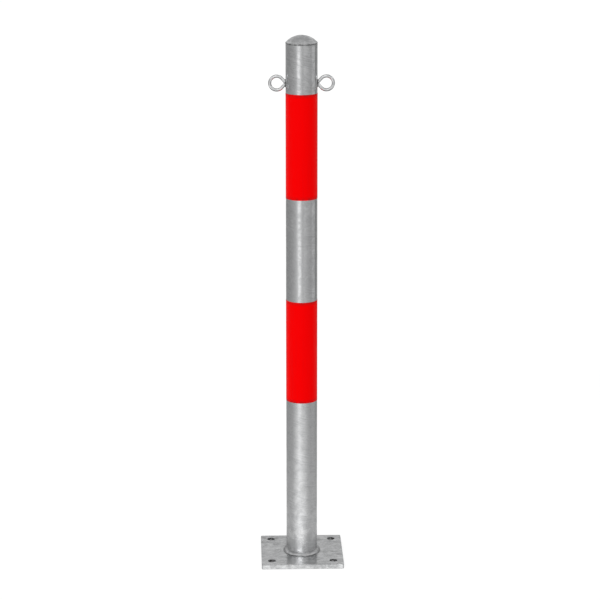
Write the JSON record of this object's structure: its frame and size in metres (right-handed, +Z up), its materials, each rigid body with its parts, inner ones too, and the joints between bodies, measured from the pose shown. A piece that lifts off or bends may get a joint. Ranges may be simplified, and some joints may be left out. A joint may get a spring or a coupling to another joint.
{
  "type": "barrier post",
  "caption": "Galvanised steel barrier post with a domed cap, chain eyes, red reflective bands and a square base plate for bolting down.",
  "frame": {"origin": "middle of the base plate's underside, on the ground and on the tube's axis", "axes": "+Z up along the tube; the chain eyes point along -X and +X; the films lap at the back, +Y"},
  "size_m": [0.16, 0.16, 1.0283],
  "materials": {
    "galvanised_tube": "hot-dip galvanised, mottled and faintly streaked, semi-gloss",
    "galvanised_cap": "hot-dip galvanised, duller and finely mottled",
    "galvanised_plate": "hot-dip galvanised, clouded, semi-gloss, bright edges",
    "galvanised_bar": "hot-dip galvanised, smooth and bright",
    "weld_metal": "weld bead under zinc, finely rippled",
    "red_film": "glossy red reflective film"
  },
  "bodies": {
    "root": {"post_tube": "galvanised_tube", "top_cap": "galvanised_cap", "base_plate": "galvanised_plate", "base_weld": "weld_metal", "left_chain_eye": "galvanised_bar", "right_chain_eye": "galvanised_bar", "left_eye_weld": "weld_metal", "right_eye_weld": "weld_metal", "upper_red_band": "red_film", "lower_red_band": "red_film"}
  },
  "joints": []
}
